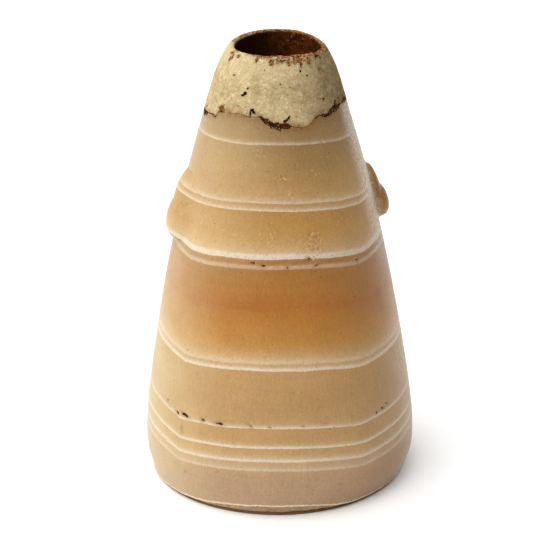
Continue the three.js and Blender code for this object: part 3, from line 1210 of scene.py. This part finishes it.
@dataclass(frozen=True)
class PlasterFinish:
    """Cream plaster skin over a rust-brown core, with dark pits and a dirty joint."""

    crack: JointCrack
    name: str = "cream_plaster"
    cream: Colour = srgb(196, 176, 134)
    worn: Colour = srgb(160, 136, 94)
    pale: Colour = srgb(222, 206, 170)
    chalk: Colour = srgb(240, 230, 204)
    # Colour of the painted shade on the right of the plaster.
    painted_shade: Colour = srgb(104, 82, 50)
    core: Colour = srgb(166, 102, 36)
    core_dark: Colour = srgb(70, 35, 11)
    dirt: Colour = srgb(26, 13, 5)
    # Inside the mouth: the dark well colour is painted shade, the lining colour painted light on the lit
    # inner wall.
    well: Colour = srgb(46, 18, 4)
    lining: Colour = srgb(104, 50, 14)
    relief: float = 0.11

    def material(self) -> bpy.types.Material:
        """Builds the plaster.

        Returns:
            The material.
        """
        graph = Graph(self.name)
        where, x, y, z = graph.place()
        cloud = graph.noise(where, 3.5, 3.0)
        patch = graph.noise(where, 1.1, 3.0, (1, 1, 0.8), (4, 7, 2))
        fine = graph.noise(where, 0.32, 2.0, (1, 1, 1), (8, 1, 3))
        grit = graph.noise(where, 0.17, 1.0, (1, 1, 1), (3, 5, 9))
        scratch = graph.noise(where, 0.3, 2.0, (1, 1, 8), (5, 3, 1), 35.0)
        rubbed = (cloud * 0.7 + patch * 0.8 - z.rise(84.0, 88.0) * 0.15).rise(-0.2, 0.35)
        colour = graph.mix(self.cream, self.worn, rubbed)
        colour = graph.mix(colour, self.pale, (fine * 0.7 - patch).rise(0.1, 0.35) * 0.5)
        colour = graph.tint(colour, 1.0 + fine * 0.55 + grit * 0.8 + scratch * 0.5)
        # Painted shade: the plaster darkens towards its right side, turned from the light.
        painted_shade = x.share_of(y).rise(0.15, 1.0) * (0.75 + patch * 0.6)
        colour = graph.mix(colour, self.painted_shade, painted_shade)
        specks = graph.noise(where, 0.5, 0.0, (1, 1, 1), (1, 9, 6)).rise(0.28, 0.34)
        colour = graph.mix(colour, self.core_dark, specks * 0.7)
        chips = graph.noise(where, 0.6, 1.0, (1.3, 1.3, 0.8), (6, 6, 1)).rise(0.22, 0.28)
        colour = graph.mix(colour, self.chalk, chips * 0.5)
        peel = graph.signed("bare", 1.6) + fine * 0.5 + patch * 1.0
        bare = peel.rise(0.0, 0.1)
        # Dark outline round the bare patches: painted shade along the flaked edges.
        rim = (peel.rise(-0.25, 0.0) - bare).above(0.0) * (0.25 + fine * 1.5).capped(1.0)
        core = graph.mix(self.core, self.core_dark, (fine * 1.2 + grit - patch * 0.6).rise(-0.14, 0.08))
        core = graph.mix(core, self.pale, (grit + patch * 0.4).rise(0.11, 0.19) * z.rise(88.0, 88.7) * 0.75)
        colour = graph.mix(colour, self.core_dark, rim)
        colour = graph.mix(colour, core, bare)
        # Inside the mouth: painted shade, lifted by painted light on the right inner wall.
        inside = graph.layer("inside")
        lit = (cloud + fine + patch).rise(-0.25, 0.35) * x.rise(-5.0, 4.0)
        lining = graph.mix(self.well, self.lining, lit)
        shown = z.rise(85.0, 88.5) * x.rise(-1.0, 4.0) * 0.75
        lining = graph.mix(lining, self.cream, (fine + grit * 0.6 + patch * 0.5).rise(0.2, 0.28) * shown)
        colour = graph.mix(colour, lining, inside)
        hole = (graph.signed("hole") + fine * 0.5 + patch * 0.3).rise(-0.03, 0.06)
        colour = graph.mix(colour, self.dirt, hole)
        colour, crack = self.crack.shade(graph, where, colour)
        rough = 0.82 + cloud * 0.1
        relief = fine * 0.8 + patch * 1.0 + grit * 0.5 + scratch * 0.6 + chips * 0.8
        relief = relief - specks * 0.8 - bare * 1.2 - hole * 2.0 - crack * 1.5
        constants = {
            "Subsurface Weight": 0.05,
            "Subsurface Radius": (1.0, 0.7, 0.4),
            "Subsurface Scale": 0.5 * MM,
            "Specular IOR Level": 0.05,
        }
        return graph.surface(colour, rough, relief, self.relief, constants)


@dataclass(frozen=True)
class FloorFinish:
    """Plain white sweep that the pot stands on."""

    name: str = "white_sweep"
    white: Colour = (0.93, 0.93, 0.93)

    def material(self) -> bpy.types.Material:
        """Builds the floor's finish.

        Returns:
            The material.
        """
        graph = Graph(self.name)
        cloud = graph.noise(graph.place()[0], 40.0, 1.0)
        colour = graph.tint(self.white, 1.0 + cloud * 0.02)
        return graph.surface(colour, 0.8 + cloud * 0.05, cloud, 0.01, {})


class LampRole(Enum):
    """What a lamp is for."""

    TOP = "top"
    KEY = "key"
    BACK = "back"
    FRONT = "front"
    SIDE = "side"


@dataclass(frozen=True)
class Lamp:
    """A soft square lamp that faces the pot, placed in metres."""

    role: LampRole
    place: tuple[float, float, float]
    side: float
    power: float


@dataclass
class Studio:
    """Floor, soft lamps, pale surroundings and the camera."""

    target: tuple[float, float, float] = (0.0, 0.0, 0.045)
    lamps: tuple[Lamp, ...] = (
        Lamp(LampRole.TOP, (0.0, 0.0, 1.6), 2.4, 34.0),
        Lamp(LampRole.KEY, (-0.8, -0.1, 1.0), 1.6, 10.0),
        Lamp(LampRole.BACK, (0.0, 1.0, 0.9), 2.0, 8.0),
        Lamp(LampRole.FRONT, (-0.6, -0.9, 0.8), 1.2, 6.0),
        Lamp(LampRole.SIDE, (-1.2, 0.3, 0.2), 0.8, 3.5),
    )
    surroundings: float = 0.04
    camera_place: tuple[float, float, float] = (-0.65, -495.0, 238.6)
    camera_pitch: float = 21.77
    camera_roll: float = -0.6
    focal_length: float = 173.3
    floor_side: float = 6.0

    def lay_floor(self, finish: bpy.types.Material) -> None:
        """Lays the floor under the pot.

        Args:
            finish: The floor's material.
        """
        bpy.ops.object.select_all(action="DESELECT")
        bpy.ops.mesh.primitive_plane_add(size=self.floor_side, location=(0, 0, 0))
        floor = bpy.context.object
        floor.name = "floor"
        floor.data.materials.append(finish)

    def light(self) -> None:
        """Hangs the lamps and lights the surroundings."""
        world = bpy.data.worlds.new("studio")
        world.use_nodes = True
        world.node_tree.nodes["Background"].inputs["Color"].default_value = (1, 1, 1, 1)
        world.node_tree.nodes["Background"].inputs["Strength"].default_value = self.surroundings
        bpy.context.scene.world = world
        for lamp in self.lamps:
            data = bpy.data.lights.new(lamp.role.value, "AREA")
            data.size = lamp.side
            data.energy = lamp.power
            made = bpy.data.objects.new(lamp.role.value, data)
            made.location = lamp.place
            facing = Vector(self.target) - Vector(lamp.place)
            made.rotation_euler = facing.to_track_quat("-Z", "Y").to_euler()
            bpy.context.scene.collection.objects.link(made)

    def aim(self) -> None:
        """Sets the camera at the photo's viewing angle."""
        data = bpy.data.cameras.new("camera")
        data.lens = self.focal_length
        data.sensor_width = 36.0
        data.clip_start = 0.01
        camera = bpy.data.objects.new("camera", data)
        tilt = Matrix.Rotation(math.radians(90 - self.camera_pitch), 4, "X")
        roll = Matrix.Rotation(math.radians(self.camera_roll), 4, "Z")
        camera.matrix_world = Matrix.Translation(Vector(self.camera_place) * MM) @ tilt @ roll
        bpy.context.scene.collection.objects.link(camera)
        bpy.context.scene.camera = camera
        bpy.context.scene.view_settings.view_transform = "Standard"


def main() -> None:
    """Builds the pot, its floor, light and camera."""
    logging.basicConfig(level=logging.INFO, format="%(message)s")
    section = Section()
    break_line = BreakLine()
    crack = JointCrack()
    stone = StoneBody(section, break_line, crack)
    stone.build()
    stone.shape()
    stone.settle("stone_body", "alabaster", AlabasterFinish(crack).material())
    rim = PlasterRim(section, break_line, crack)
    rim.build()
    rim.shape()
    rim.settle("plaster_rim", "plaster", PlasterFinish(crack).material())
    studio = Studio()
    studio.lay_floor(FloorFinish().material())
    studio.light()
    studio.aim()


if __name__ == "__main__":
    main()
